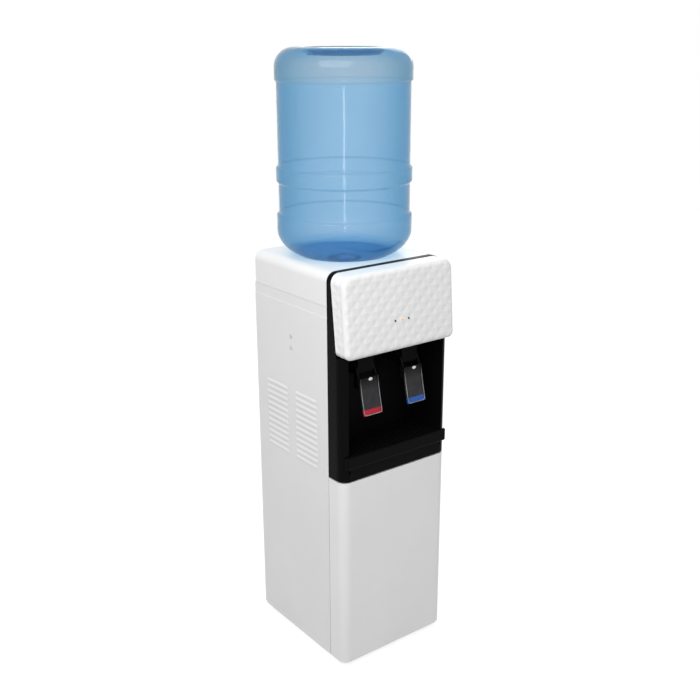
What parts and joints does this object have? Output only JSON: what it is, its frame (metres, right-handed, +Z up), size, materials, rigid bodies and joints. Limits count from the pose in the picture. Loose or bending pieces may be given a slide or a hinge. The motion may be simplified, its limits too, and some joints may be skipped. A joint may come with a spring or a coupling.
{
  "type": "water cooler",
  "caption": "Slim floor-standing hot and cold water cooler: upturned blue bottle on top, black tap recess with push levers, drip tray and a plain storage door.",
  "frame": {"origin": "centre of the footprint on the floor, between the panel's nose and the drain cap", "axes": "+Z up, -Y towards the user (the taps), +X to the right seen from the front"},
  "size_m": [0.2792, 0.3392, 1.261],
  "materials": {
    "white_plastic": "satin white moulding",
    "white_steel": "satin white powder coat",
    "black_plastic": "semi-gloss black moulding",
    "grey_plastic": "matt grey moulding",
    "bottle_blue": "clear blue, polished",
    "cap_blue": "soft blue cap",
    "hot_red": "red",
    "cold_blue": "blue",
    "lamp_amber": "clear amber",
    "lamp_dark": "unlit lens",
    "stainless": "brushed",
    "zinc_steel": "zinc plated",
    "alloy": "extruded",
    "heater_band": "heat stained",
    "ceramic": "white ceramic",
    "foam": "closed-cell foam",
    "silicone": "milky silicone",
    "seal_grey": "soft magnetic seal",
    "circuit_green": "solder mask"
  },
  "bodies": {
    "cabinet": {"base_pan": "zinc_steel", "feet": "black_plastic", "deck_plate": "zinc_steel", "side_panel_left": "white_steel", "side_panel_right": "white_steel", "rear_panel": "zinc_steel", "rear_screws": "zinc_steel", "side_screws": "zinc_steel", "fan_guard": "black_plastic", "top_cover": "white_plastic", "bottle_collar": "white_plastic", "bottle_probe": "white_plastic", "cap_plug": "cap_blue", "fascia_frame": "black_plastic", "niche_liner": "black_plastic", "indicator_panel": "white_plastic", "indicator_board": "circuit_green", "lamp_heating": "lamp_dark", "lamp_power": "lamp_amber", "lamp_cooling": "lamp_dark", "hot_tap_body": "black_plastic", "cold_tap_body": "black_plastic", "lever_pins": "stainless", "cold_tank": "stainless", "cold_tank_insulation": "foam", "tank_lid_insulation": "foam", "cold_block": "alloy", "thermoelectric_module": "ceramic", "heat_sink": "alloy", "fan_housing": "black_plastic", "hot_tank": "stainless", "band_heater": "heater_band", "hot_tank_insulation": "foam", "feed_hose": "silicone", "hot_outlet_hose": "silicone", "cold_outlet_pipe": "silicone", "drain_pipe": "grey_plastic", "power_supply": "zinc_steel", "power_inlet": "black_plastic", "switch_bezels": "black_plastic", "tank_brackets": "zinc_steel", "storage_liner": "white_plastic", "hinge_pins": "stainless", "catch_plate": "zinc_steel"},
    "door": {"door_outer": "white_plastic", "door_inner": "white_plastic", "door_gasket": "seal_grey", "door_magnet": "zinc_steel"},
    "hot_paddle": {"hot_lever": "black_plastic", "hot_lever_tip": "hot_red"},
    "cold_paddle": {"cold_lever": "black_plastic", "cold_lever_tip": "cold_blue"},
    "water_bottle": {"bottle": "bottle_blue", "bottle_cap": "cap_blue"},
    "tray": {"drip_tray": "black_plastic"},
    "tray_grille": {"drip_grille": "black_plastic"},
    "fan": {"fan_rotor": "black_plastic"},
    "heating_rocker": {"heating_switch": "hot_red"},
    "cooling_rocker": {"cooling_switch": "cold_blue"},
    "drain_stopper": {"drain_cap": "grey_plastic"}
  },
  "joints": [
    {"name": "door_hinge", "type": "hinge", "parent": "cabinet", "child": "door", "pos_m": [0.13, -0.139, 0.2215], "axis": [0, 0, 1], "range_deg": [0, 110]},
    {"name": "hot_paddle_push", "type": "hinge", "parent": "cabinet", "child": "hot_paddle", "pos_m": [-0.057, -0.112, 0.662], "axis": [1, 0, 0], "range_deg": [0, 12], "stiffness_Nm_per_rad": 0.5, "springref_deg": -6.88},
    {"name": "cold_paddle_push", "type": "hinge", "parent": "cabinet", "child": "cold_paddle", "pos_m": [0.057, -0.112, 0.662], "axis": [1, 0, 0], "range_deg": [0, 12], "stiffness_Nm_per_rad": 0.5, "springref_deg": -6.88},
    {"name": "bottle_lift", "type": "slide", "parent": "cabinet", "child": "water_bottle", "axis": [0, 0, 1], "range_m": [0, 0.12]},
    {"name": "tray_pull", "type": "slide", "parent": "cabinet", "child": "tray", "axis": [0, -1, 0], "range_m": [0, 0.12]},
    {"name": "grille_lift", "type": "slide", "parent": "tray", "child": "tray_grille", "axis": [0, 0, 1], "range_m": [0, 0.03]},
    {"name": "fan_spin", "type": "hinge", "parent": "cabinet", "child": "fan", "pos_m": [0, 0.14, 0.6804], "axis": [0, 1, 0], "continuous": true},
    {"name": "heating_rocker_tilt", "type": "hinge", "parent": "cabinet", "child": "heating_rocker", "pos_m": [-0.092, 0.1535, 0.537], "axis": [1, 0, 0], "range_deg": [0, 16]},
    {"name": "cooling_rocker_tilt", "type": "hinge", "parent": "cabinet", "child": "cooling_rocker", "pos_m": [-0.092, 0.1535, 0.503], "axis": [1, 0, 0], "range_deg": [0, 16]},
    {"name": "drain_cap_off", "type": "slide", "parent": "cabinet", "child": "drain_stopper", "axis": [0, 1, 0], "range_m": [0, 0.03]}
  ]
}
